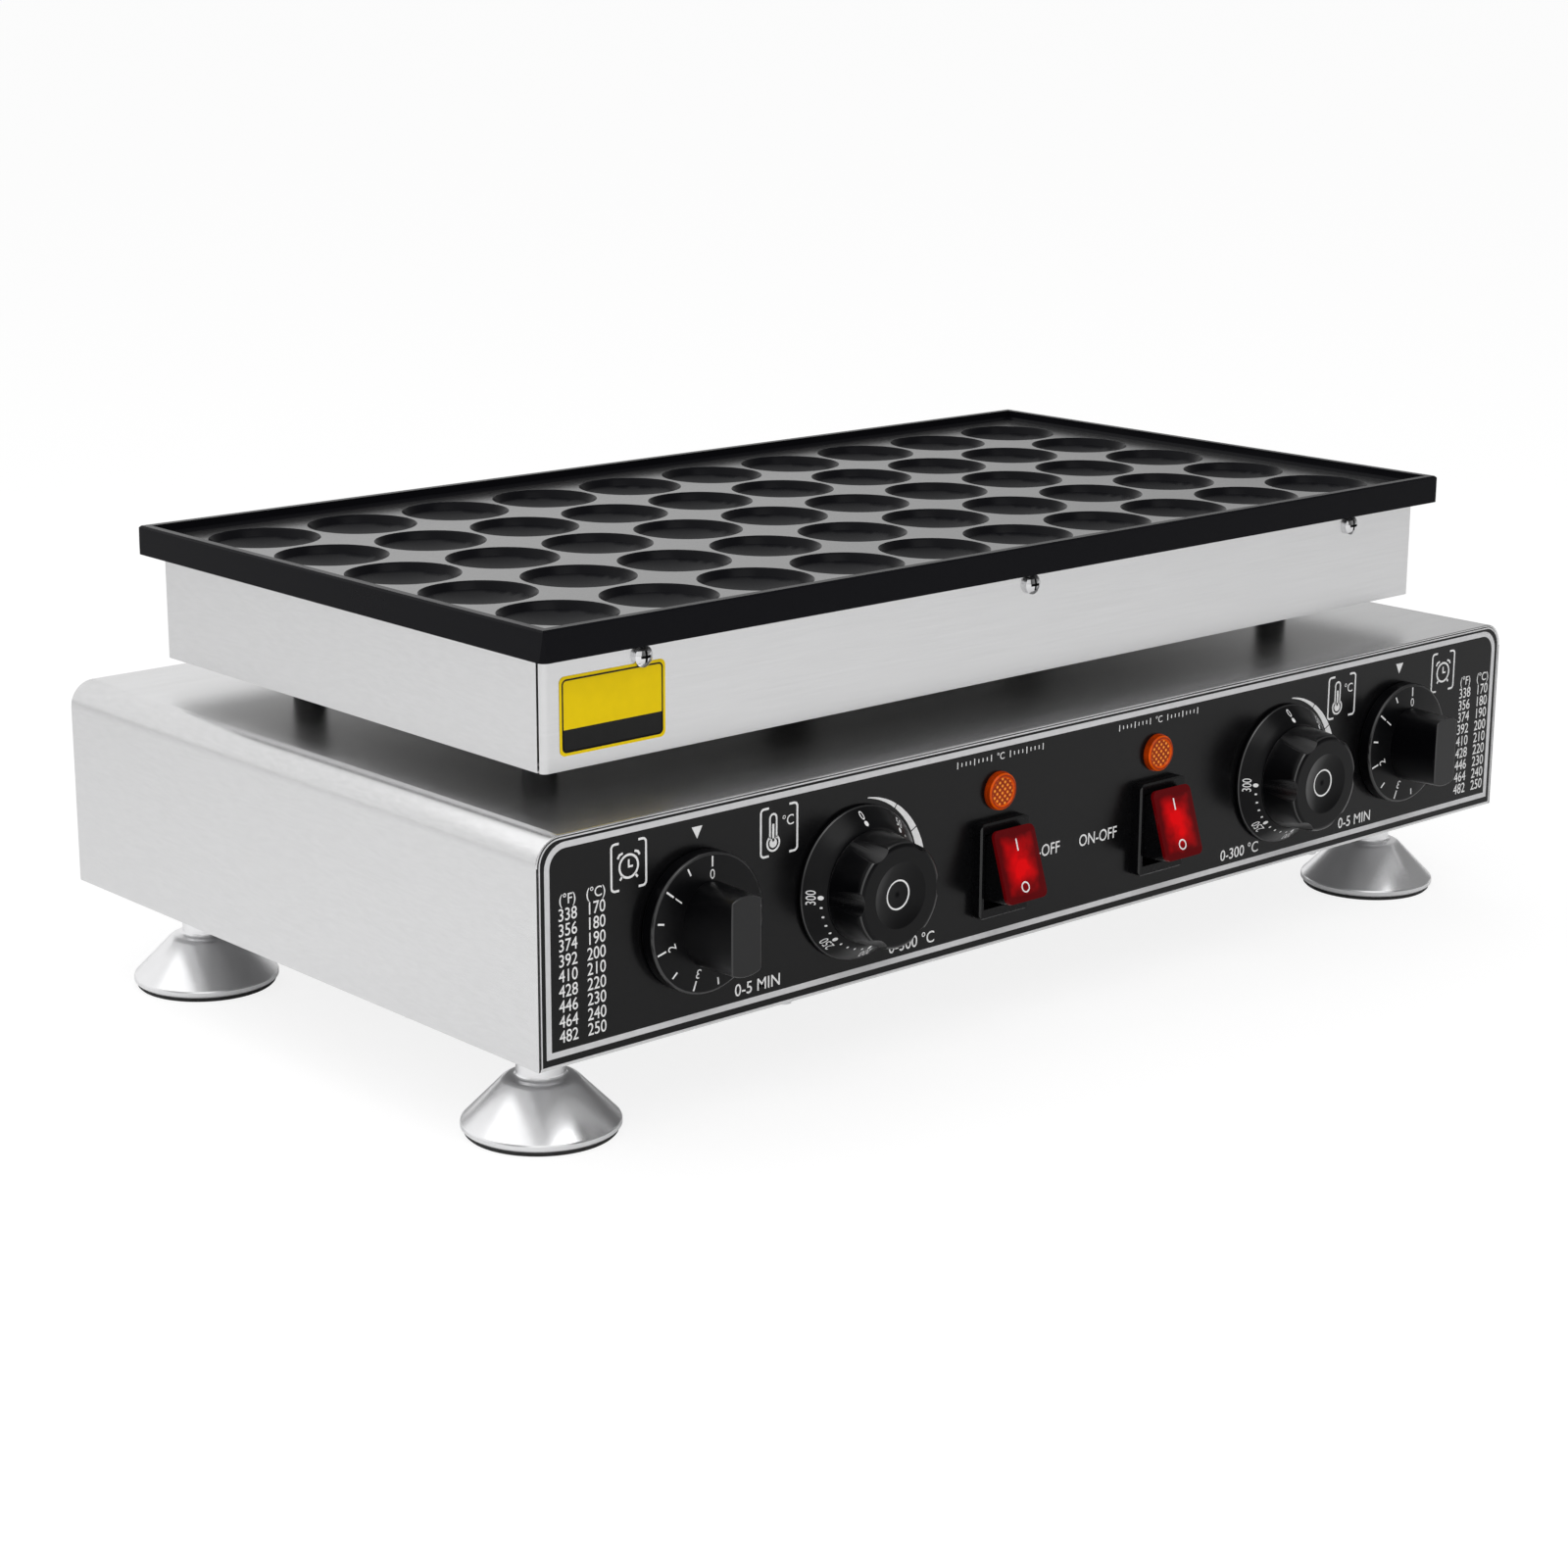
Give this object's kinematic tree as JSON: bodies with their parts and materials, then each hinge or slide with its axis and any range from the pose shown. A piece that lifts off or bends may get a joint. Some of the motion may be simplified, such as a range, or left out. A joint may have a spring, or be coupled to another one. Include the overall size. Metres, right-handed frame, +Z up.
{
  "type": "electric mini cake griddle",
  "caption": "Countertop electric griddle: a cast plate of round baking cavities on a heater box, on posts above a steel casing with knobs, rocker switches, lamps and screw feet.",
  "frame": {"origin": "middle of the overall box, on the ground under the foot pads", "axes": "+X to the right along the row of controls, -Y toward the user, +Z up"},
  "size_m": [0.574, 0.3754, 0.201],
  "materials": {
    "plate_coating": "dark non-stick coat, satin",
    "sheet_steel": "satin",
    "fastener_steel": "plain",
    "element_tube": "heat-darkened",
    "wool": "matte",
    "post_dark": "satin",
    "panel_black": "satin",
    "foot_chrome": "polished",
    "pad_rubber": "matte",
    "knob_black": "satin gloss",
    "body_plastic": "matte",
    "probe_copper": "plain",
    "lamp_amber": "clear amber",
    "switch_black": "satin",
    "rocker_red": "translucent red",
    "earth_brass": "plain",
    "wire_cover": "matte"
  },
  "bodies": {
    "griddle": {"baking_plate": "plate_coating", "heater_box": "sheet_steel", "box_bottom_pan": "sheet_steel", "plate_screws": "fastener_steel", "element_left": "element_tube", "element_right": "element_tube", "element_clamps": "sheet_steel", "clamp_studs": "fastener_steel", "clamp_nuts": "fastener_steel", "insulation_blanket": "wool", "support_posts": "post_dark", "post_bolts": "fastener_steel", "post_nuts": "fastener_steel", "wire_conduit": "post_dark", "base_cover": "sheet_steel", "front_panel": "sheet_steel", "panel_overlay": "panel_black", "rear_panel": "sheet_steel", "bottom_plate": "sheet_steel", "bottom_screws": "fastener_steel", "foot_nuts": "fastener_steel", "timer_body_left": "body_plastic", "timer_body_right": "body_plastic", "thermostat_body_left": "body_plastic", "thermostat_body_right": "body_plastic", "probe_left": "probe_copper", "probe_right": "probe_copper", "control_nuts": "fastener_steel", "lamp_body_left": "body_plastic", "lamp_body_right": "body_plastic", "lamp_lens_left": "lamp_amber", "lamp_lens_right": "lamp_amber", "switch_housing_left": "switch_black", "switch_housing_right": "switch_black", "cable_gland": "switch_black", "gland_nut": "switch_black", "terminal_block": "body_plastic", "earth_stud": "earth_brass", "wiring_loom": "wire_cover"},
    "timer_left": {"timer_knob_left": "knob_black", "timer_shaft_left": "fastener_steel"},
    "thermostat_left": {"thermostat_knob_left": "knob_black", "thermostat_shaft_left": "fastener_steel"},
    "switch_left": {"rocker_left": "switch_black", "rocker_cap_left": "rocker_red"},
    "timer_right": {"timer_knob_right": "knob_black", "timer_shaft_right": "fastener_steel"},
    "thermostat_right": {"thermostat_knob_right": "knob_black", "thermostat_shaft_right": "fastener_steel"},
    "switch_right": {"rocker_right": "switch_black", "rocker_cap_right": "rocker_red"},
    "leg_front_left": {"foot_front_left": "foot_chrome", "pad_front_left": "pad_rubber"},
    "leg_front_right": {"foot_front_right": "foot_chrome", "pad_front_right": "pad_rubber"},
    "leg_rear_left": {"foot_rear_left": "foot_chrome", "pad_rear_left": "pad_rubber"},
    "leg_rear_right": {"foot_rear_right": "foot_chrome", "pad_rear_right": "pad_rubber"}
  },
  "joints": [
    {"name": "timer_left_turn", "type": "hinge", "parent": "griddle", "child": "timer_left", "pos_m": [-0.211, -0.15925, 0.0865], "axis": [0, 1, 0], "range_deg": [0, 278]},
    {"name": "thermostat_left_turn", "type": "hinge", "parent": "griddle", "child": "thermostat_left", "pos_m": [-0.1291, -0.15925, 0.0854], "axis": [0, -1, 0], "range_deg": [0, 270]},
    {"name": "rocker_left_tilt", "type": "hinge", "parent": "griddle", "child": "switch_left", "pos_m": [-0.0501, -0.16245, 0.077], "axis": [1, 0, 0], "range_deg": [0, 36]},
    {"name": "timer_right_turn", "type": "hinge", "parent": "griddle", "child": "timer_right", "pos_m": [0.211, -0.15925, 0.0865], "axis": [0, 1, 0], "range_deg": [0, 278]},
    {"name": "thermostat_right_turn", "type": "hinge", "parent": "griddle", "child": "thermostat_right", "pos_m": [0.1291, -0.15925, 0.0854], "axis": [0, -1, 0], "range_deg": [0, 270]},
    {"name": "rocker_right_tilt", "type": "hinge", "parent": "griddle", "child": "switch_right", "pos_m": [0.0457, -0.16245, 0.077], "axis": [1, 0, 0], "range_deg": [0, 36]},
    {"name": "leg_front_left_screw", "type": "slide", "parent": "griddle", "child": "leg_front_left", "axis": [0, 0, -1], "range_m": [0, 0.008]},
    {"name": "leg_front_right_screw", "type": "slide", "parent": "griddle", "child": "leg_front_right", "axis": [0, 0, -1], "range_m": [0, 0.008]},
    {"name": "leg_rear_left_screw", "type": "slide", "parent": "griddle", "child": "leg_rear_left", "axis": [0, 0, -1], "range_m": [0, 0.008]},
    {"name": "leg_rear_right_screw", "type": "slide", "parent": "griddle", "child": "leg_rear_right", "axis": [0, 0, -1], "range_m": [0, 0.008]}
  ]
}
